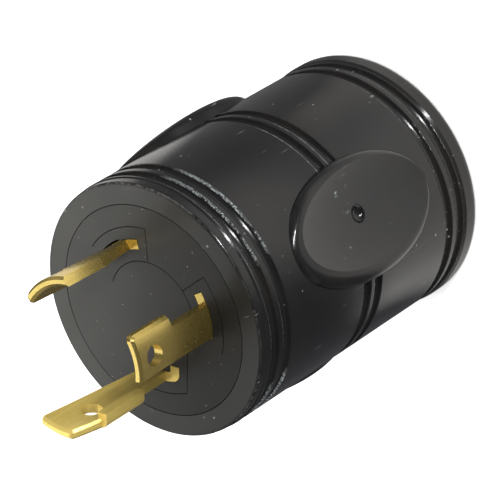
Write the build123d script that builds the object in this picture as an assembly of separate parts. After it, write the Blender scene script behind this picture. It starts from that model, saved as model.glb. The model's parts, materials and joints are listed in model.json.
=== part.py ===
from build123d import *
import os
from math import sin, cos, radians, hypot

os.makedirs("parts", exist_ok=True)

# ---------------------------------------------------------------------------
# One-piece round power adapter: 30 A twist-lock plug in front, 30 A caravan
# receptacle behind.  Millimetres.  Origin: centre of the rear (receptacle)
# face.  +Z runs along the plug axis towards the blades, +X points through the
# middle of the first thumb pad.
# ---------------------------------------------------------------------------

# body
BODY_LEN = 65.0          # rear face to plug face
BARREL_R = 24.8          # barrel between the groove pairs
FRONT_BAND_R = 24.6      # short band beside the plug face
RIM_R = 25.1             # rear rim
RIM_ROUND = 1.6          # rounding of the rear rim
FACE_ROUND = 0.5         # rounding of the plug-face edge
GROOVES = (5.55, 9.03, 30.97, 34.25, 57.7, 61.1)   # groove centres, three pairs
GROOVE_MINOR = 0.98      # radius of the round groove tool
GROOVE_SINK = 0.12       # tool centre outside the barrel surface
GROOVE_SOFT = 0.35       # softened groove edges

# thumb pads
PAD_COUNT = 3
PAD_Z = 31.1
PAD_PLANE = 25.6         # rim plane, from the axis
PAD_HALF_LEN = 19.8      # outline of the raised pad
PAD_HALF_WID = 11.1
PAD_SHIFT = 1.0          # the outline reaches further towards the plug than the dish
PAD_SIDE = (-0.6, 0.0, 0.0)
PAD_ROUND = 1.8          # full round from the rim down the side wall
DISH_HALF_LEN = 17.8
DISH_HALF_WID = 9.2
DISH_DEPTH = 2.3
DIMPLE_R = 1.7           # gate dimple in the middle of each dish
DIMPLE_BALL = 1.95

# plug face
INSERT_R = 20.5          # moulded plug face, flush in the overmould
FACE_T = 10.0            # its thickness
LIP_R = 21.5             # hidden retaining lip
LIP_T = 2.0
CORE_R = 18.4            # everything behind the faces
HUB_R = 9.7
LOBE_R = 16.1
SEAM_W = 0.16            # witness line between the face pieces
SEAM_D = 0.5
SLOT_GAP = 0.14          # gap round each blade in its holder
RELIEF_W = 0.45          # wider mouth outside the wide blade
RELIEF_D = 1.2

# blades
BLADE_RO = 13.75
BLADE_RI = 11.9
BLADE_L = 19.2           # hot and neutral, from the plug face
GROUND_L = 25.4
NOTCH_H = 9.5
HOLE_R = 1.95
BLADE_BACK = 50.0        # full-width blade ends here, inside
TAIL_BACK = 42.0         # narrow tail ends here
TIP_BEVEL = 0.5
LEAN = 3.0               # the wide blade leans outwards a little

# receptacle face
SOCKET_T = 6.0
SOCKET_DIR = -135.0      # direction of the ground hole
GROUND_HOLE_R = 2.5
GROUND_AT = 10.5
SLOT_SIDE = 10.5         # slot centres to either side
SLOT_BACK = 3.0          # and this far away from the ground hole
SLOT_LEN = 9.6
SLOT_WID = 2.4
SLOT_TILT = 30.0
CONTACT_TOP = 16.5
LEAF_T = 0.85
CONTACT_GAP = 1.9
PLATE_T = 2.0

# wiring
COPPER_R = 1.3
INSUL_R = 2.3
CRIMP_R = 2.6
CRIMP_AT = 9.1
CRIMP_PLUG = (36.0, 45.0)
CRIMP_SOCKET = (CONTACT_TOP, 25.0)

TOP = BODY_LEN


def pol(r, a):
    return (r * cos(radians(a)), r * sin(radians(a)))


def cyl(r, z0, z1, x=0.0, y=0.0):
    return Pos(x, y, z0) * Cylinder(r, z1 - z0, align=(Align.CENTER, Align.CENTER, Align.MIN))


def tube(ro, ri, z0, z1, x=0.0, y=0.0):
    return cyl(ro, z0, z1, x, y) - cyl(ri, z0 - 1, z1 + 1, x, y)


def prism(points, z0, z1):
    return extrude(Plane.XY.offset(z0) * make_face(Polyline(*points, close=True)), amount=z1 - z0)


def sector(ri, ro, a0, a1, z0, z1):
    """Annular sector from angle a0 to a1 (degrees, a1 > a0)."""
    n = max(2, int((a1 - a0) / 30) + 2)
    far = ro * 1.6
    pts = [(0.0, 0.0)] + [pol(far, a0 + (a1 - a0) * i / (n - 1)) for i in range(n)]
    return tube(ro, ri, z0, z1) & prism(pts, z0, z1)


def one(shape):
    """The single solid of a result."""
    s = sorted(shape.solids(), key=lambda k: -k.volume)
    return s[0]


# --------------------------------------------------------------------- blades
RM = (BLADE_RO + BLADE_RI) / 2


def plate(phi_c, outline, soft=None, thin=0.0):
    """Blade strip: a developed outline of (angle, height) wrapped on the blade circle."""
    pts = [(RM * sin(radians(a - phi_c)), z) for a, z in outline]
    wire = make_face(Polyline(*pts, close=True))
    if soft:
        vs = [v for v in wire.vertices() if any(abs(v.X - pts[i][0]) < 1e-6 and abs(v.Y - pts[i][1]) < 1e-6 for i in soft)]
        wire = fillet(vs, 1.0)
    # local x: tangential, local y: up, normal: radial
    ex = (-sin(radians(phi_c)), cos(radians(phi_c)), 0)
    nr = (cos(radians(phi_c)), sin(radians(phi_c)), 0)
    pl = Plane(origin=(0, 0, 0), x_dir=ex, z_dir=(nr[0], nr[1], 0))
    if pl.y_dir.Z < 0:
        pl = Plane(origin=(0, 0, 0), x_dir=(-ex[0], -ex[1], 0), z_dir=(nr[0], nr[1], 0))
        pts = [(-x, z) for x, z in pts]
        wire = make_face(Polyline(*pts, close=True))
        if soft:
            vs = [v for v in wire.vertices() if any(abs(v.X - pts[i][0]) < 1e-6 and abs(v.Y - pts[i][1]) < 1e-6 for i in soft)]
            wire = fillet(vs, 1.0)
    block = extrude(pl * wire, amount=BLADE_RO + 6)
    zs = [z for _, z in outline]
    return block & tube(BLADE_RO - thin, BLADE_RI + thin, min(zs) - 1, max(zs) + 1)


def bevel_tip(solid, ztip, size):
    edges = [e for e in solid.edges() if abs(e.center().Z - ztip) < 0.02 and e.length > 4]
    try:
        return chamfer(edges, size)
    except Exception:
        return solid


def hole_at(phi, z, r=HOLE_R):
    x, y = pol(RM, phi)
    c = Cylinder(r, 8)
    return Pos(x, y, z) * Rot(0, 0, phi) * Rot(0, 90, 0) * c


# hot blade (narrow), notch on its leading side
HOT_A0, HOT_A1, HOT_N = -34.0, 4.0, -5.7
HOT_C = (HOT_A0 + HOT_A1) / 2
hot_up = plate(HOT_C, [(HOT_A0, TOP), (HOT_N, TOP), (HOT_N, TOP + NOTCH_H), (HOT_A1, TOP + NOTCH_H),
                       (HOT_A1, TOP + BLADE_L), (HOT_A0, TOP + BLADE_L)], soft=[4])
hot_up = bevel_tip(one(hot_up), TOP + BLADE_L, TIP_BEVEL)
hot_low = sector(BLADE_RI, BLADE_RO, HOT_A0, HOT_A1, BLADE_BACK, TOP + 0.05)
hot_tail = sector(BLADE_RI, BLADE_RO, HOT_C - 9, HOT_C + 9, TAIL_BACK, BLADE_BACK + 1)
blade_hot = one((hot_up + hot_low + hot_tail) - hole_at(-18.5, TOP + 15.2))

# neutral blade (wide): notch on the leading side, tapered trailing side
NEU_A0, NEU_A1, NEU_N = 73.0, 123.2, 113.5
NEU_C = 98.0
neu_up = plate(NEU_C, [(84.5, TOP - 0.4), (NEU_N, TOP - 0.4), (NEU_N, TOP + NOTCH_H), (123.8, TOP + NOTCH_H),
                       (123.8, TOP + BLADE_L), (71.0, TOP + BLADE_L), (73.5, TOP + 9.0)], soft=[4], thin=0.05)
neu_up = bevel_tip(one(neu_up), TOP + BLADE_L, TIP_BEVEL) - hole_at(97.5, TOP + 15.2)
px, py = pol(RM, NEU_C)
neu_up = neu_up.rotate(Axis((px, py, TOP), (-sin(radians(NEU_C)), cos(radians(NEU_C)), 0)), LEAN)
neu_low = sector(BLADE_RI, BLADE_RO, NEU_A0, NEU_A1, BLADE_BACK, TOP + 0.05)
neu_tail = sector(BLADE_RI, BLADE_RO, NEU_C - 9, NEU_C + 9, TAIL_BACK, BLADE_BACK + 1)
blade_neutral = one(one(neu_up) + neu_low + neu_tail)

# ground blade: longer, with the inward hook along its leading side
GND_C = -118.0
GND_A0, GND_A1, GND_N = -129.0, -98.6, -108.0
gnd_up = plate(GND_C, [(-127.2, TOP), (GND_N, TOP), (GND_N, TOP + NOTCH_H + 0.1), (GND_A1, TOP + NOTCH_H + 0.1),
                       (GND_A1, TOP + 20.2), (-108.2, TOP + GROUND_L), (-139.4, TOP + GROUND_L)], soft=[5])
gnd_up = bevel_tip(one(gnd_up), TOP + GROUND_L, TIP_BEVEL)
HOOK = [(-2.05, -13.6), (-1.10, -13.25), (-0.62, -12.75), (0.18, -11.34), (-1.62, -10.50), (-2.60, -12.35)]
hook_up = prism(HOOK, TOP + NOTCH_H + 0.1, TOP + 19.8)
hook_low = prism(HOOK, BLADE_BACK, TOP + 0.05)
gnd_low = sector(BLADE_RI, BLADE_RO, GND_A0, GND_A1, BLADE_BACK, TOP + 0.05)
gnd_tail = sector(BLADE_RI, BLADE_RO, GND_C - 9, GND_C + 9, TAIL_BACK, BLADE_BACK + 1)
blade_ground = one((gnd_up + hook_up + gnd_low + hook_low + gnd_tail) - hole_at(-118.3, TOP + 17.4))


# ------------------------------------------------------- slots round the blades
def slot(a0, a1, z0, z1, gap=SLOT_GAP):
    da = gap / RM * 57.2958
    return sector(BLADE_RI - gap, BLADE_RO + gap, a0 - da, a1 + da, z0, z1)


def hook_slot(z0, z1, gap=SLOT_GAP):
    f = offset(make_face(Polyline(*HOOK, close=True)), gap)
    return extrude(Plane.XY.offset(z0) * f, amount=z1 - z0)


hot_slot = slot(HOT_A0, HOT_A1, BLADE_BACK, TOP + 2)
neu_slot = slot(NEU_A0, NEU_A1, BLADE_BACK, TOP + 2)
gnd_slot = slot(GND_A0, GND_A1, BLADE_BACK, TOP + 2) + hook_slot(BLADE_BACK, TOP + 2)

# --------------------------------------------------------------- plug face set
F0 = TOP - FACE_T        # back of the plug face pieces


def lobe(points, z0, z1, r):
    return tube(r, HUB_R, z0, z1) & prism(points, z0, z1)


LOBE_NEU = [(0, 0), pol(40, 64.5), pol(40, 98), pol(40, 131)]
LOBE_HOT = [(0, 0), pol(40, -42), pol(40, -15), pol(40, 12)]
# the ground lobe's leading side runs parallel to the blade's hook
LOBE_GND = [(4.6, -7.7), (-5.9, -24.5), (-12, -38), pol(40, -138), (0, 0)]


def lobes(z0, z1, grow=0.0):
    out = []
    for pts in (LOBE_NEU, LOBE_HOT, LOBE_GND):
        f = make_face(Polyline(*pts, close=True))
        if grow:
            f = offset(f, grow)
        p = extrude(Plane.XY.offset(z0) * f, amount=z1 - z0)
        out.append(p & tube(LOBE_R + grow, HUB_R, z0, z1))
    return out


lob = lobes(F0, TOP)
lob_seam = lobes(TOP - SEAM_D, TOP + 1, SEAM_W)

plug_face_ring = cyl(INSERT_R, F0, TOP - SEAM_D) + cyl(INSERT_R - SEAM_W, TOP - SEAM_D - 0.01, TOP) + cyl(LIP_R, F0, F0 + LIP_T)
plug_face_ring = plug_face_ring - cyl(HUB_R, F0 - 1, TOP + 1)
for l in lob:
    plug_face_ring = plug_face_ring - l
for l in lob_seam:
    plug_face_ring = plug_face_ring - l
plug_face_ring = one(plug_face_ring)

plug_hub = one(cyl(HUB_R, F0, TOP - SEAM_D) + cyl(HUB_R - SEAM_W, TOP - SEAM_D - 0.01, TOP))
mouth = sector(BLADE_RO - 0.2, BLADE_RO + RELIEF_W, 92.0, NEU_A1 + 0.6, TOP - RELIEF_D, TOP + 2)
holder_neutral = one(lob[0] - neu_slot - mouth)
holder_hot = one(lob[1] - hot_slot)
holder_ground = one(lob[2] - gnd_slot)

BP0 = F0 - 3.0
plug_back_plate = one(cyl(CORE_R, BP0, F0) - neu_slot - hot_slot - gnd_slot)

# ------------------------------------------------------------------ receptacle
gx, gy = pol(GROUND_AT, SOCKET_DIR)


def local(side, back):
    """Point on the rear face: side across, back away from the ground hole."""
    ux, uy = pol(1, SOCKET_DIR)
    return (side * -uy - back * ux, side * ux - back * uy)


SLOTS = {}
for name, sgn in (("hot", 1), ("neutral", -1)):
    SLOTS[name] = (local(sgn * SLOT_SIDE, SLOT_BACK), SOCKET_DIR + 90 + sgn * (90 - SLOT_TILT))


def slab(name, length, width, z0, z1):
    (x, y), a = SLOTS[name]
    return Pos(x, y, z0) * Rot(0, 0, a) * Box(length, width, z1 - z0, align=(Align.CENTER, Align.CENTER, Align.MIN))


socket_face = cyl(INSERT_R, SEAM_D, SOCKET_T) + cyl(INSERT_R - SEAM_W, 0, SEAM_D + 0.01) + cyl(LIP_R, SOCKET_T - LIP_T, SOCKET_T)
for n in SLOTS:
    socket_face = socket_face - slab(n, SLOT_LEN, SLOT_WID, -1, SOCKET_T + 1)
socket_face = one(socket_face - cyl(GROUND_HOLE_R, -1, SOCKET_T + 1, gx, gy))

block = cyl(CORE_R, SOCKET_T, CONTACT_TOP)
for n in SLOTS:
    block = block - slab(n, SLOT_LEN + 0.4, CONTACT_GAP + 2 * LEAF_T + 0.3, SOCKET_T - 1, CONTACT_TOP + 1)
socket_contact_block = one(block - cyl(3.7, SOCKET_T - 1, CONTACT_TOP + 1, gx, gy))


def fork(name):
    body = slab(name, SLOT_LEN, CONTACT_GAP + 2 * LEAF_T, SOCKET_T, CONTACT_TOP)
    gap = slab(name, SLOT_LEN + 4, CONTACT_GAP, SOCKET_T - 1, CONTACT_TOP - 1.5)
    return one(body - gap)


contact_hot = fork("hot")
contact_neutral = fork("neutral")
g = cyl(3.5, SOCKET_T, CONTACT_TOP, gx, gy) - cyl(GROUND_HOLE_R, SOCKET_T - 1, CONTACT_TOP - 1.5, gx, gy)
for a in (0, 90):
    g = g - Pos(gx, gy, SOCKET_T - 1) * Rot(0, 0, SOCKET_DIR + 45 + a) * Box(12, 0.8, 7.5, align=(Align.CENTER, Align.CENTER, Align.MIN))
contact_ground = one(g)

# --------------------------------------------------------------------- wiring
ENDS = {
    "hot": (pol(CRIMP_AT, HOT_C), SLOTS["hot"][0]),
    "neutral": (pol(CRIMP_AT, NEU_C), SLOTS["neutral"][0]),
    "ground": (pol(CRIMP_AT, GND_C), (gx, gy)),
}
wires, sleeves, crimps_p, crimps_s = {}, {}, {}, {}
for name, (p, s) in ENDS.items():
    z_s, z_p = CRIMP_SOCKET[1], CRIMP_PLUG[0]
    path = Spline((s[0], s[1], z_s), (p[0], p[1], z_p), tangents=((0, 0, 1), (0, 0, 1)))
    start = Plane(origin=(s[0], s[1], z_s), z_dir=(0, 0, 1))
    core = sweep(start * Circle(COPPER_R), path=path)
    skin = sweep(start * Circle(INSUL_R), path=path)
    sleeves[name] = one(skin - core)
    wires[name] = one(core + cyl(COPPER_R, CRIMP_SOCKET[0], z_s, *s) + cyl(COPPER_R, z_p, CRIMP_PLUG[1], *p))
    crimps_p[name] = one(tube(CRIMP_R, COPPER_R, *CRIMP_PLUG, *p))
    crimps_s[name] = one(tube(CRIMP_R, COPPER_R, *CRIMP_SOCKET, *s))

plate_s = cyl(CORE_R, CONTACT_TOP, CONTACT_TOP + PLATE_T)
for name, (p, s) in ENDS.items():
    plate_s = plate_s - cyl(CRIMP_R, CONTACT_TOP - 1, CONTACT_TOP + PLATE_T + 1, *s)
socket_back_plate = one(plate_s)

pre = cyl(CORE_R, CONTACT_TOP + PLATE_T, BP0)
pre = pre - slot(HOT_A0, HOT_A1, BLADE_BACK, BP0 + 1, 0) - slot(NEU_A0, NEU_A1, BLADE_BACK, BP0 + 1, 0) - slot(GND_A0, GND_A1, BLADE_BACK, BP0 + 1, 0)
pre = pre - prism(HOOK, BLADE_BACK, BP0 + 1) - hot_tail - neu_tail - gnd_tail
for name, (p, s) in ENDS.items():
    pre = pre - cyl(CRIMP_R, CRIMP_SOCKET[0], CRIMP_SOCKET[1], *s) - cyl(CRIMP_R, CRIMP_PLUG[0], CRIMP_PLUG[1], *p)
    path = Spline((s[0], s[1], CRIMP_SOCKET[1]), (p[0], p[1], CRIMP_PLUG[0]), tangents=((0, 0, 1), (0, 0, 1)))
    start = Plane(origin=(s[0], s[1], CRIMP_SOCKET[1]), z_dir=(0, 0, 1))
    pre = pre - sweep(start * Circle(INSUL_R), path=path)
inner_premould = one(pre)

# ---------------------------------------------------------------- outer housing
# half section: straight runs, round grooves and a soft round at every groove edge
runs = []
rc = BARREL_R + GROOVE_SINK
dz = ((GROOVE_MINOR + GROOVE_SOFT) ** 2 - (rc - BARREL_R + GROOVE_SOFT) ** 2) ** 0.5
here = (BARREL_R, 4.3)
for z in GROOVES:
    marks = []
    for sgn in (-1, 1):
        px, py = BARREL_R - GROOVE_SOFT, z + sgn * dz        # centre of the soft round
        k = GROOVE_MINOR / (GROOVE_MINOR + GROOVE_SOFT)
        on_line = (BARREL_R, py)
        on_groove = (rc + (px - rc) * k, z + (py - z) * k)
        mx, my = (on_line[0] + on_groove[0]) / 2 - px, (on_line[1] + on_groove[1]) / 2 - py
        m = hypot(mx, my)
        marks.append((on_line, (px + mx / m * GROOVE_SOFT, py + my / m * GROOVE_SOFT), on_groove))
    (l0, m0, g0), (l1, m1, g1) = marks
    runs.append(Line(here, l0))
    runs.append(ThreePointArc(l0, m0, g0))
    runs.append(ThreePointArc(g0, (rc - GROOVE_MINOR, z), g1))
    runs.append(ThreePointArc(g1, m1, l1))
    here = l1
tail = [here, (BARREL_R, 62.7), (FRONT_BAND_R, 63.0), (FRONT_BAND_R, TOP), (0, TOP), (0, 0), (RIM_R, 0), (RIM_R, 3.7), (BARREL_R, 4.3)]
for p, q in zip(tail, tail[1:]):
    runs.append(Line(p, q))
flat = make_face(Wire(runs))
body = one(revolve(Plane.XZ * flat, axis=Axis.Z))
body = one(fillet([e for e in body.edges() if abs(e.center().Z) < 0.01 and e.length > 100], RIM_ROUND))
body = one(fillet([e for e in body.edges() if abs(e.center().Z - TOP) < 0.01 and e.length > 100], FACE_ROUND))

# one thumb pad along +X
pad_face = make_face(Ellipse(PAD_HALF_WID, PAD_HALF_LEN).edges())
pad_pl = Plane(origin=(19.0, 0, PAD_Z + PAD_SHIFT), x_dir=(0, 1, 0), z_dir=(1, 0, 0))
pad = extrude(pad_pl * pad_face, amount=PAD_PLANE - 19.0)
pad = fillet([e for e in pad.edges() if abs(e.center().X - PAD_PLANE) < 0.05], PAD_ROUND)
rw = DISH_HALF_WID
rl = DISH_HALF_LEN
sr = (rw * rw + DISH_DEPTH * DISH_DEPTH) / (2 * DISH_DEPTH)
ball = scale(Sphere(sr), by=(1, 1, rl / rw))
dish = Pos(PAD_PLANE - DISH_DEPTH + sr, 0, PAD_Z) * ball
dimple = Pos(PAD_PLANE - DISH_DEPTH + (DIMPLE_BALL ** 2 - DIMPLE_R ** 2) ** 0.5, 0, PAD_Z) * Sphere(DIMPLE_BALL)
for k in range(PAD_COUNT):
    turn = Rot(0, 0, 360 / PAD_COUNT * k)
    body = body + turn * Pos(0, PAD_SIDE[k], 0) * pad
for k in range(PAD_COUNT):
    turn = Rot(0, 0, 360 / PAD_COUNT * k)
    body = body - turn * dish - turn * dimple
body = body - cyl(CORE_R, SOCKET_T - 0.5, F0 + 0.5)
body = body - cyl(LIP_R, F0, F0 + LIP_T) - cyl(INSERT_R, F0, TOP + 1)
body = body - cyl(LIP_R, SOCKET_T - LIP_T, SOCKET_T) - cyl(INSERT_R, -1, SOCKET_T)
outer_housing = one(body)

nodes = {
    "outer_housing": outer_housing,
    "plug_face_ring": plug_face_ring,
    "plug_hub": plug_hub,
    "blade_holder_neutral": holder_neutral,
    "blade_holder_hot": holder_hot,
    "blade_holder_ground": holder_ground,
    "blade_neutral": blade_neutral,
    "blade_hot": blade_hot,
    "blade_ground": blade_ground,
    "plug_back_plate": plug_back_plate,
    "inner_premould": inner_premould,
    "socket_face": socket_face,
    "socket_contact_block": socket_contact_block,
    "socket_back_plate": socket_back_plate,
    "contact_hot": contact_hot,
    "contact_neutral": contact_neutral,
    "contact_ground": contact_ground,
}
for n in ENDS:
    nodes["wire_core_" + n] = wires[n]
    nodes["wire_sleeve_" + n] = sleeves[n]
    nodes["plug_crimp_" + n] = crimps_p[n]
    nodes["socket_crimp_" + n] = crimps_s[n]

for n, s in nodes.items():
    export_step(s, "parts/" + n + ".step")
print(len(nodes), "nodes")
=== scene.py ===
import bpy, json, math
from mathutils import Vector, Matrix


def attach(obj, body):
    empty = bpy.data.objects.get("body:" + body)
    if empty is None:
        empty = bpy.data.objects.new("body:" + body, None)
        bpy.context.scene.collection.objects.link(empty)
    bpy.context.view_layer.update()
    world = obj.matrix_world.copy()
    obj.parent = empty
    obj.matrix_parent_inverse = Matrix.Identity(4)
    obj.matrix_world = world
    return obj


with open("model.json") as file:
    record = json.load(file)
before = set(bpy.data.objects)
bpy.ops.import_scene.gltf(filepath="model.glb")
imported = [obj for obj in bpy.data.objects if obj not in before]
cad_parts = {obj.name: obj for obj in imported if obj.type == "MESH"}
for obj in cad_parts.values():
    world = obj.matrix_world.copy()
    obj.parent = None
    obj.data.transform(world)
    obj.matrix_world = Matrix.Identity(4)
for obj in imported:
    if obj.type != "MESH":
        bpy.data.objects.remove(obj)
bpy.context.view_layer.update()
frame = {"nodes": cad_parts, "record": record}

scene = bpy.context.scene
N = frame["nodes"]

# ------------------------------------------------------------------ node help
def new_mat(name):
    m = bpy.data.materials.new(name)
    m.use_nodes = True
    nt = m.node_tree
    nt.nodes.clear()
    out = nt.nodes.new("ShaderNodeOutputMaterial")
    bs = nt.nodes.new("ShaderNodeBsdfPrincipled")
    nt.links.new(bs.outputs[0], out.inputs[0])
    return m, nt, bs


class G:
    """Small builder of node graphs."""

    def __init__(self, nt):
        self.nt = nt

    def n(self, kind, **kw):
        node = self.nt.nodes.new(kind)
        for k, v in kw.items():
            setattr(node, k, v)
        return node

    def put(self, sock, v):
        if hasattr(v, "is_output"):
            self.nt.links.new(v, sock)
        elif v is not None:
            sock.default_value = v

    def obj(self):
        return self.n("ShaderNodeTexCoord").outputs["Object"]

    def mapping(self, vec, scale=(1, 1, 1), loc=(0, 0, 0), rot=(0, 0, 0)):
        m = self.n("ShaderNodeMapping")
        self.put(m.inputs["Vector"], vec)
        m.inputs["Scale"].default_value = scale
        m.inputs["Location"].default_value = loc
        m.inputs["Rotation"].default_value = rot
        return m.outputs[0]

    def noise(self, vec, scale, detail=4.0, rough=0.55, dist=0.0):
        t = self.n("ShaderNodeTexNoise")
        self.put(t.inputs["Vector"], vec)
        t.inputs["Scale"].default_value = scale
        t.inputs["Detail"].default_value = detail
        t.inputs["Roughness"].default_value = rough
        t.inputs["Distortion"].default_value = dist
        return t.outputs[0]

    def voronoi(self, vec, scale, feature="F1", rand=1.0):
        t = self.n("ShaderNodeTexVoronoi", feature=feature)
        self.put(t.inputs["Vector"], vec)
        t.inputs["Scale"].default_value = scale
        t.inputs["Randomness"].default_value = rand
        return t.outputs["Distance"]

    def math(self, op, a, b=None, c=None, clamp=False):
        t = self.n("ShaderNodeMath", operation=op, use_clamp=clamp)
        self.put(t.inputs[0], a)
        if b is not None:
            self.put(t.inputs[1], b)
        if c is not None:
            self.put(t.inputs[2], c)
        return t.outputs[0]

    def sep(self, vec):
        t = self.n("ShaderNodeSeparateXYZ")
        self.put(t.inputs[0], vec)
        return t.outputs

    def comb(self, x, y, z):
        t = self.n("ShaderNodeCombineXYZ")
        self.put(t.inputs[0], x)
        self.put(t.inputs[1], y)
        self.put(t.inputs[2], z)
        return t.outputs[0]

    def ramp(self, v, lo, hi, a=0.0, b=1.0, smooth=True):
        t = self.n("ShaderNodeMapRange", interpolation_type="SMOOTHSTEP" if smooth else "LINEAR")
        self.put(t.inputs["Value"], v)
        t.inputs["From Min"].default_value = lo
        t.inputs["From Max"].default_value = hi
        t.inputs["To Min"].default_value = a
        t.inputs["To Max"].default_value = b
        return t.outputs[0]

    def mix(self, f, a, b):
        t = self.n("ShaderNodeMix", data_type="RGBA", blend_type="MIX")
        self.put(t.inputs[0], f)
        self.put(t.inputs[6], a)
        self.put(t.inputs[7], b)
        return t.outputs[2]

    def bump(self, h, strength, dist, normal=None):
        t = self.n("ShaderNodeBump")
        t.inputs["Strength"].default_value = strength
        t.inputs["Distance"].default_value = dist
        self.put(t.inputs["Height"], h)
        if normal is not None:
            self.put(t.inputs["Normal"], normal)
        return t.outputs[0]

    def band(self, v, centre, half, soft):
        """1 inside centre +- half, falling to 0 over soft."""
        d = self.math("ABSOLUTE", self.math("SUBTRACT", v, centre))
        return self.ramp(d, half, half + soft, 1.0, 0.0)


def rgb(r, g, b):
    return (r, g, b, 1.0)


# ------------------------------------------------------------------ materials
GROOVES = (5.55, 9.03, 30.97, 34.25, 57.7, 61.1)


def painted_side_light(g, x, y):
    # painted light: the moulded face is painted paler and shinier on one side, darker and duller on the other, as the
    # light falls across it
    return g.ramp(g.math("ADD", g.math("MULTIPLY", x, -0.8), g.math("MULTIPLY", y, 0.6)), -0.016, 0.022)


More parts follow.
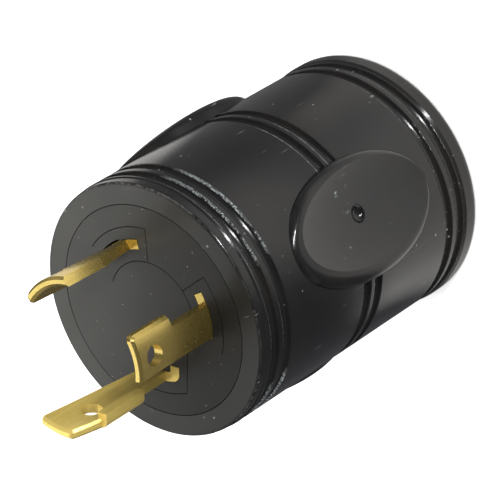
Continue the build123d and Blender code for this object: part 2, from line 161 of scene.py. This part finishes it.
def mat_overmould():
    m, nt, bs = new_mat("overmould_pvc")
    g = G(nt)
    P = g.obj()
    x, y, z = g.sep(P)
    ang = g.math("ARCTAN2", y, x)
    # fine flow variation of the moulding
    cloud = g.noise(P, 60.0, 3.0, 0.5)
    fine = g.noise(P, 900.0, 3.0, 0.6)
    # short fine scratches: stretched noise in two directions
    s1 = g.noise(g.mapping(P, (1400, 260, 90), rot=(0.3, 0.2, 0.5)), 1.0, 2.0, 0.5)
    s2 = g.noise(g.mapping(P, (120, 1500, 300), rot=(0.9, 0.1, 0.2)), 1.0, 2.0, 0.5)
    scr = g.math("MAXIMUM", g.ramp(s1, 0.70, 0.76), g.ramp(s2, 0.705, 0.765))
    scr = g.math("MULTIPLY", scr, g.ramp(g.noise(P, 110.0, 2.0), 0.44, 0.57))
    # dust specks
    dust = g.ramp(g.voronoi(P, 330.0), 0.10, 0.03)
    dust = g.math("MULTIPLY", dust, g.ramp(g.noise(P, 75.0, 2.0), 0.46, 0.56))
    # painted highlights: bright glints in dashes on the leading edges of the grooves
    groove_glint = None
    for c, amt in ((56.75, 1.0), (60.15, 0.8), (62.1, 0.35), (35.2, 0.7), (31.95, 0.6), (9.95, 0.6), (6.5, 0.5)):
        b = g.math("MULTIPLY", g.band(z, c * 0.001, 0.00022, 0.00028), amt)
        groove_glint = b if groove_glint is None else g.math("MAXIMUM", groove_glint, b)
    dash = g.noise(g.comb(g.math("MULTIPLY", ang, 78.0), g.math("MULTIPLY", z, 1500.0), 0.0), 1.6, 3.0, 0.75)
    where = g.noise(g.comb(g.math("MULTIPLY", ang, 1.0), g.math("MULTIPLY", z, 40.0), 3.0), 1.3, 1.0, 0.5)
    # the painted groove glints are strongest just past each thumb pad, at 20 to 62 degrees
    third = g.math("MODULO", g.math("ADD", ang, 2 * math.pi), 2 * math.pi / 3)
    glint_sector = g.band(third, math.radians(41), math.radians(12), math.radians(12))
    groove_glint = g.math("MULTIPLY", groove_glint, g.ramp(dash, 0.46, 0.66))
    groove_glint = g.math("MULTIPLY", groove_glint, g.math("MAXIMUM", glint_sector, g.ramp(where, 0.56, 0.68)))
    # only on the barrel itself, not across the dished pads
    rad = g.math("SQRT", g.math("ADD", g.math("MULTIPLY", x, x), g.math("MULTIPLY", y, y)))
    groove_glint = g.math("MULTIPLY", groove_glint, g.band(rad, 0.02475, 0.00022, 0.00012))
    # worn outer edge of the plug face
    edge = g.math("MULTIPLY", g.band(rad, 0.02442, 0.00008, 0.00010), g.band(z, 0.06484, 0.00012, 0.0001))
    edge = g.math("MULTIPLY", edge, g.ramp(g.noise(P, 900.0, 3.0, 0.7), 0.40, 0.60))
    edge = g.math("MULTIPLY", edge, g.ramp(g.noise(P, 70.0, 1.0, 0.5), 0.40, 0.60, 0.25, 1.0))
    # mould split: a fine line at -30 and 150 degrees that wanders a little
    wander = g.math("ADD", g.math("MULTIPLY", g.noise(g.comb(0.0, 0.0, g.math("MULTIPLY", z, 90.0)), 1.0, 1.0), 0.10), -0.05)
    split = g.math("SUBTRACT", g.math("ADD", ang, wander), math.radians(-29.0))
    split = g.math("ABSOLUTE", g.math("SUBTRACT", g.math("PINGPONG", g.math("ADD", split, 4 * math.pi), math.pi / 2), 0.0))
    line = g.ramp(split, 0.0022, 0.0055, 1.0, 0.0)
    line = g.math("MULTIPLY", line, g.ramp(z, 0.0600, 0.0606, 1.0, 0.0))
    col = g.mix(g.ramp(cloud, 0.3, 0.7), rgb(0.0045, 0.0043, 0.0045), rgb(0.0074, 0.0069, 0.0064))
    # the flat front ring has the same fine matt finish as the insert
    flat = g.ramp(z, 0.06485, 0.06497)
    # painted light: the ring is paler on the lit side and darker on the shaded side, like the insert
    side_light_mask = painted_side_light(g, x, y)
    shaded_side_col = g.mix(g.ramp(cloud, 0.3, 0.7), rgb(0.0062, 0.0062, 0.0056), rgb(0.0090, 0.0089, 0.0080))
    lit_side_col = g.mix(g.ramp(cloud, 0.3, 0.7), rgb(0.0235, 0.0233, 0.0208), rgb(0.0300, 0.0295, 0.0262))
    col = g.mix(flat, col, g.mix(side_light_mask, shaded_side_col, lit_side_col))
    col = g.mix(g.math("MULTIPLY", scr, 0.4), col, rgb(0.16, 0.165, 0.17))
    col = g.mix(g.math("MULTIPLY", dust, 0.7), col, rgb(0.22, 0.21, 0.19))
    # painted highlight: pale bluish glints along the groove edges
    col = g.mix(g.math("MULTIPLY", groove_glint, 0.85), col, rgb(0.40, 0.44, 0.45))
    col = g.mix(g.math("MULTIPLY", edge, 0.16), col, rgb(0.24, 0.24, 0.23))
    col = g.mix(g.math("MULTIPLY", line, 0.7), col, rgb(0.002, 0.002, 0.002))
    # painted shade: the walls and floor of the seam inside the face ring are painted near-black
    painted_gap_shade = g.math("MULTIPLY", g.ramp(z, 0.06485, 0.06494, 1.0, 0.0), g.ramp(rad, 0.0210, 0.0212, 1.0, 0.0))
    col = g.mix(painted_gap_shade, col, rgb(0.0008, 0.0008, 0.0008))
    g.put(bs.inputs["Base Color"], col)
    r = g.ramp(cloud, 0.25, 0.75, 0.13, 0.18)
    r = g.math("ADD", r, g.math("MULTIPLY", fine, 0.05))
    r = g.math("ADD", r, g.math("MULTIPLY", groove_glint, 0.2), clamp=True)
    r = g.math("ADD", r, g.math("MULTIPLY", flat, 0.16), clamp=True)
    r = g.math("ADD", r, painted_gap_shade, clamp=True)
    g.put(bs.inputs["Roughness"], r)
    h = g.math("ADD", g.math("MULTIPLY", cloud, 0.6), g.math("MULTIPLY", fine, g.math("ADD", g.math("MULTIPLY", flat, 0.10), 0.045)))
    h = g.math("SUBTRACT", h, g.math("MULTIPLY", scr, 0.25))
    h = g.math("ADD", h, g.math("MULTIPLY", groove_glint, 0.5))
    h = g.math("SUBTRACT", h, g.math("MULTIPLY", line, 0.6))
    g.put(bs.inputs["Normal"], g.bump(h, 0.35, 0.00012))
    bs.inputs["Specular IOR Level"].default_value = 0.42
    return m


def mat_face(name, base, hi, rough, grain=0.4, seams=False):
    m, nt, bs = new_mat(name)
    g = G(nt)
    P = g.obj()
    grainy = g.noise(P, 2600.0, 3.0, 0.65)
    cloud = g.noise(P, 140.0, 4.0, 0.6)
    speck = g.ramp(g.voronoi(P, 620.0), 0.12, 0.03)
    speck = g.math("MULTIPLY", speck, g.ramp(g.noise(P, 200.0, 2.0), 0.50, 0.58))
    s1 = g.noise(g.mapping(P, (200, 1900, 500), rot=(0.1, 0.2, 0.9)), 1.0, 2.0, 0.5)
    scr = g.math("MULTIPLY", g.ramp(s1, 0.74, 0.8), g.ramp(g.noise(P, 150.0, 2.0), 0.5, 0.62))
    col = g.mix(g.ramp(cloud, 0.3, 0.7), base, hi)
    if seams:
        sx, sy, sz = g.sep(P)
        # painted light: the plug face is paler on the lit side and darker on the shaded side
        side_light_mask = painted_side_light(g, sx, sy)
        shaded_side_col = g.mix(g.ramp(cloud, 0.3, 0.7), rgb(0.0062, 0.0062, 0.0056), rgb(0.0090, 0.0089, 0.0080))
        lit_side_col = g.mix(g.ramp(cloud, 0.3, 0.7), rgb(0.0235, 0.0233, 0.0208), rgb(0.0300, 0.0295, 0.0262))
        col = g.mix(side_light_mask, shaded_side_col, lit_side_col)
        g.put(bs.inputs["Specular IOR Level"], g.ramp(side_light_mask, 0.0, 1.0, 0.34, 0.56))
    col = g.mix(g.ramp(grainy, 0.38, 0.68, 0.0, 0.30), col, rgb(0.004, 0.004, 0.004))
    col = g.mix(g.math("MULTIPLY", speck, 0.6), col, rgb(0.30, 0.28, 0.22))
    col = g.mix(g.math("MULTIPLY", scr, 0.35), col, rgb(0.20, 0.20, 0.20))
    r = g.ramp(cloud, 0.25, 0.75, rough - 0.04, rough + 0.05)
    if seams:
        # painted shade: everything below the face top, inside the seams, is painted near-black
        painted_gap_shade = g.ramp(g.sep(P)[2], 0.06485, 0.06494, 1.0, 0.0)
        col = g.mix(painted_gap_shade, col, rgb(0.0008, 0.0008, 0.0008))
        r = g.math("ADD", r, painted_gap_shade, clamp=True)
    g.put(bs.inputs["Base Color"], col)
    g.put(bs.inputs["Roughness"], r)
    h = g.math("ADD", g.math("MULTIPLY", grainy, 0.8), g.math("MULTIPLY", cloud, 0.3))
    g.put(bs.inputs["Normal"], g.bump(h, grain, 0.0001))
    return m


def mat_brass(name, light, dark, rough=0.24, metal=0.95):
    m, nt, bs = new_mat(name)
    g = G(nt)
    P = g.obj()
    cloud = g.noise(P, 170.0, 4.0, 0.6)
    brush = g.noise(g.mapping(P, (2600, 2600, 90)), 1.0, 3.0, 0.6)
    fine = g.noise(g.mapping(P, (7000, 7000, 320)), 1.0, 2.0, 0.6)
    tarn = g.ramp(g.noise(P, 90.0, 5.0, 0.65), 0.42, 0.72)
    spot = g.math("MULTIPLY", g.ramp(g.voronoi(P, 420.0), 0.16, 0.05), g.ramp(cloud, 0.55, 0.68))
    col = g.mix(g.ramp(brush, 0.3, 0.7), light, dark)
    col = g.mix(g.math("MULTIPLY", tarn, 0.25), col, rgb(0.40, 0.30, 0.11))
    col = g.mix(g.math("MULTIPLY", spot, 0.4), col, rgb(0.25, 0.17, 0.07))
    # painted shade and reflection: darker towards the root, where the dark face is mirrored and shades it; a few fine
    # long scratches as well
    root = g.math("MULTIPLY", g.ramp(g.sep(P)[2], 0.0665, 0.0800, 1.0, 0.0), g.ramp(cloud, 0.30, 0.65, 0.45, 0.70))
    col = g.mix(root, col, rgb(0.42, 0.31, 0.09))
    sc = g.ramp(g.noise(g.mapping(P, (420, 420, 2600), rot=(0.4, 0.3, 0.0)), 1.0, 2.0, 0.5), 0.70, 0.77)
    sc = g.math("MULTIPLY", sc, g.ramp(g.noise(P, 260.0, 2.0), 0.5, 0.6))
    col = g.mix(g.math("MULTIPLY", sc, 0.45), col, rgb(0.28, 0.20, 0.07))
    g.put(bs.inputs["Base Color"], col)
    bs.inputs["Metallic"].default_value = metal
    r = g.math("ADD", g.ramp(brush, 0.25, 0.75, rough - 0.015, rough + 0.02), g.math("MULTIPLY", tarn, 0.06))
    g.put(bs.inputs["Roughness"], r)
    h = g.math("ADD", g.math("MULTIPLY", brush, 0.25), g.math("MULTIPLY", fine, 0.12))
    g.put(bs.inputs["Normal"], g.bump(h, 0.035, 0.00004))
    return m


def mat_sleeve(name, a, b):
    m, nt, bs = new_mat(name)
    g = G(nt)
    P = g.obj()
    c = g.noise(P, 300.0, 3.0, 0.6)
    g.put(bs.inputs["Base Color"], g.mix(g.ramp(c, 0.3, 0.7), a, b))
    g.put(bs.inputs["Roughness"], g.ramp(c, 0.3, 0.7, 0.42, 0.55))
    g.put(bs.inputs["Normal"], g.bump(g.noise(P, 1500.0, 2.0), 0.2, 0.0001))
    return m


MATS = {
    "overmould": mat_overmould(),
    "plug_face": mat_face("plug_face_nylon", rgb(0.0128, 0.0128, 0.0116), rgb(0.0176, 0.0175, 0.0158), 0.44, seams=True),
    "blade_brass": mat_brass("brass_blades", rgb(0.88, 0.67, 0.21), rgb(0.82, 0.61, 0.175)),
    "inner_plastic": mat_face("inner_nylon", rgb(0.03, 0.03, 0.03), rgb(0.045, 0.045, 0.045), 0.5),
    "inner_fill": mat_face("inner_fill_pvc", rgb(0.02, 0.02, 0.02), rgb(0.03, 0.03, 0.03), 0.55),
    "socket_plastic": mat_face("socket_face_nylon", rgb(0.020, 0.020, 0.020), rgb(0.030, 0.030, 0.030), 0.42),
    "contact_metal": mat_brass("contact_brass", rgb(0.80, 0.62, 0.28), rgb(0.66, 0.48, 0.18), 0.3),
    "copper": mat_brass("bare_copper", rgb(0.86, 0.46, 0.30), rgb(0.70, 0.32, 0.18), 0.3),
    "crimp_metal": mat_brass("tinned_crimp", rgb(0.68, 0.68, 0.66), rgb(0.55, 0.55, 0.54), 0.32),
    "sleeve_black": mat_sleeve("sleeve_black_pvc", rgb(0.015, 0.015, 0.015), rgb(0.025, 0.025, 0.025)),
    "sleeve_white": mat_sleeve("sleeve_white_pvc", rgb(0.72, 0.72, 0.68), rgb(0.62, 0.62, 0.58)),
    "sleeve_green": mat_sleeve("sleeve_green_pvc", rgb(0.02, 0.22, 0.05), rgb(0.03, 0.16, 0.04)),
}
slot_of = {s["node"]: s["material_slot"] for s in frame["record"]["subparts"]}
# the ground blade is brushed duller than the other two
dull = mat_brass("brass_ground", rgb(0.90, 0.69, 0.20), rgb(0.82, 0.61, 0.16), 0.32, 0.72)
for name, o in N.items():
    for ms in o.material_slots:
        ms.link = "OBJECT"
        ms.material = dull if name == "blade_ground" else MATS[slot_of[name]]

# ------------------------------------------------------------- flash in seams
# where the face pieces were moulded tight the witness line is filled
TOPZ = 0.065
QV, QF = [], []


def strip(pa, pb, z0=TOPZ - 0.0004, z1=TOPZ - 0.000004):
    """Closed bar between two equally long point lists."""
    base = len(QV)
    n = len(pa)
    for (ax, ay), (bx, by) in zip(pa, pb):
        QV.extend([(ax, ay, z0), (bx, by, z0), (bx, by, z1), (ax, ay, z1)])
    for i in range(n - 1):
        a = base + 4 * i
        for k in range(4):
            QF.append((a + k, a + (k + 1) % 4, a + 4 + (k + 1) % 4, a + 4 + k))
    QF.append((base + 3, base + 2, base + 1, base))
    e = base + 4 * (n - 1)
    QF.append((e, e + 1, e + 2, e + 3))


def arc(r, a0, a1, n):
    return [(r * math.cos(math.radians(a0 + (a1 - a0) * i / n)), r * math.sin(math.radians(a0 + (a1 - a0) * i / n))) for i in range(n + 1)]


strip(arc(0.00952, 133, 316, 90), arc(0.00972, 133, 316, 90))
strip(arc(0.01609, 118, 131.6, 16), arc(0.01628, 118, 131.6, 16))


def radial(a, off0, off1, r0, r1):
    ca, sa = math.cos(math.radians(a)), math.sin(math.radians(a))
    pa = [(r * ca - off0 * sa, r * sa + off0 * ca) for r in (r0, (r0 + r1) / 2, r1)]
    pb = [(r * ca - off1 * sa, r * sa + off1 * ca) for r in (r0, (r0 + r1) / 2, r1)]
    strip(pa, pb)


radial(131, -0.00001, 0.00018, 0.00965, 0.01622)
radial(-42, -0.00018, 0.00001, 0.00965, 0.01622)
fm_ = bpy.data.meshes.new("seam_flash")
fm_.from_pydata(QV, [], QF)
fm_.update()
flash = bpy.data.objects.new("seam_flash", fm_)
scene.collection.objects.link(flash)
fm_.materials.append(MATS["plug_face"])
import bmesh
bmf = bmesh.new()
bmf.from_mesh(fm_)
bmesh.ops.recalc_face_normals(bmf, faces=bmf.faces)
bmf.to_mesh(fm_)
bmf.free()
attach(flash, "root")

# ---------------------------------------------------------------------- stage
bm_floor = bpy.data.meshes.new("floor")
S = 3.0
bm_floor.from_pydata([(-S, -S, 0), (S, -S, 0), (S, S, 0), (-S, S, 0)], [], [(0, 1, 2, 3)])
floor = bpy.data.objects.new("floor", bm_floor)
scene.collection.objects.link(floor)
fm, fnt, fbs = new_mat("floor_white")
fg = G(fnt)
fxyz = fg.sep(fg.obj())
# pale table top; what the gloss of the part mirrors is a darker studio, lighter at the low side
fx, fy = fxyz[0], fxyz[1]
far = fg.math("SQRT", fg.math("ADD", fg.math("MULTIPLY", fx, fx), fg.math("MULTIPLY", fy, fy)))
open_side = fg.math("MULTIPLY", fg.ramp(fg.math("ADD", fy, fg.math("MULTIPLY", fx, 0.25)), -0.030, 0.035),
                    fg.math("MAXIMUM", fg.ramp(fx, 0.01, 0.080, 0.08, 0.72), fg.ramp(fx, -0.030, -0.046, 0.08, 0.55)))
oval = fg.math("SQRT", fg.math("ADD", fg.math("MULTIPLY", fg.math("MULTIPLY", fx, fx), 0.56),
                               fg.math("MULTIPLY", fg.math("MULTIPLY", fy, fy), 1.2)))
close = fg.math("MULTIPLY", fg.ramp(oval, 0.046, 0.066, 1.0, 0.0), fg.ramp(fx, 0.0, 0.018))
close = fg.math("MULTIPLY", close, fg.ramp(fy, 0.010, 0.036, 1.0, 0.5))
lit = fg.math("MULTIPLY", fg.math("MAXIMUM", open_side, close), fg.ramp(far, 0.10, 0.17, 1.0, 0.12))
mirrored = fg.mix(lit, rgb(0.045, 0.045, 0.050), rgb(0.66, 0.65, 0.63))
pale = fg.mix(fg.noise(fg.obj(), 3.0, 2.0), rgb(0.93, 0.93, 0.93), rgb(0.96, 0.96, 0.96))
fg.put(fbs.inputs["Base Color"], fg.mix(fg.n("ShaderNodeLightPath").outputs["Is Glossy Ray"], pale, mirrored))
fbs.inputs["Roughness"].default_value = 0.9
bm_floor.materials.append(fm)

world = bpy.data.worlds.new("studio")
scene.world = world
world.use_nodes = True
wn = world.node_tree.nodes
bg = wn.get("Background") or wn.new("ShaderNodeBackground")
wg = G(world.node_tree)
up_z = wg.sep(wg.n("ShaderNodeTexCoord").outputs["Generated"])[2]
bg.inputs[0].default_value = (1, 1, 1, 1)
wg.put(bg.inputs[1], wg.ramp(up_z, 0.12, 0.60, 0.26, 0.03))


def area(name, at, look, size, power, color=(1, 1, 1), size_y=None, along=None):
    d = bpy.data.lights.new(name, "AREA")
    d.energy = power
    d.size = size
    if size_y:
        d.shape = "RECTANGLE"
        d.size_y = size_y
    d.color = color
    o = bpy.data.objects.new(name, d)
    o.location = at
    o.rotation_mode = "QUATERNION"
    o.rotation_quaternion = (Vector(look) - Vector(at)).to_track_quat("-Z", "Y")
    o.visible_camera = False
    if along is not None:
        zz = (Vector(at) - Vector(look)).normalized()
        xx = Vector(along)
        xx = (xx - zz * xx.dot(zz)).normalized()
        yy = zz.cross(xx)
        o.rotation_quaternion = Matrix((xx, yy, zz)).transposed().to_quaternion()
    scene.collection.objects.link(o)
    return o


area("panel", (-0.30, -0.04, 0.34), (0, 0, 0.070), 0.24, 0.20)
area("strip", (0.425, 0.225, 0.19), (0.025, 0.0, 0.050), 0.30, 2.4, size_y=0.022, along=(0, 0, 1))
for nm, at, look, size, power in (
        ("floor_front", (-0.10, -0.42, 0.50), (0.02, -0.16, 0.0), 0.45, 1.3),
        ("floor_back", (-0.45, 0.45, 0.75), (-0.25, 0.1, 0.0), 0.6, 4.4),
        ("floor_right", (0.42, 0.06, 0.58), (0.08, -0.02, 0.0), 0.5, 6.4),
        ("fill_left", (-0.14, 0.03, 0.20), (-0.01, 0.0, 0.06), 0.12, 0.40)):
    area(nm, at, look, size, power).visible_glossy = False

# --------------------------------------------------------------------- camera
U = 0.0205
fwd = Vector((-0.7175, -0.1404, -0.6822)).normalized()
right = Vector((0.6707, -0.4033, -0.6224)).normalized()
up = right.cross(fwd).normalized()
right = fwd.cross(up).normalized()
cam_d = bpy.data.cameras.new("camera")
cam = bpy.data.objects.new("camera", cam_d)
scene.collection.objects.link(cam)
pos = Vector((20.563 * U, 4.03 * U, 18.188 * U + 0.065))
cam.matrix_world = Matrix((
    (right.x, up.x, -fwd.x, pos.x),
    (right.y, up.y, -fwd.y, pos.y),
    (right.z, up.z, -fwd.z, pos.z),
    (0, 0, 0, 1)))
cam_d.sensor_width = 36.0
cam_d.lens = 3200 / 500 * 36.0
cam_d.clip_start, cam_d.clip_end = 0.01, 20.0
scene.camera = cam

scene.view_settings.view_transform = "Standard"
scene.view_settings.look = "None"
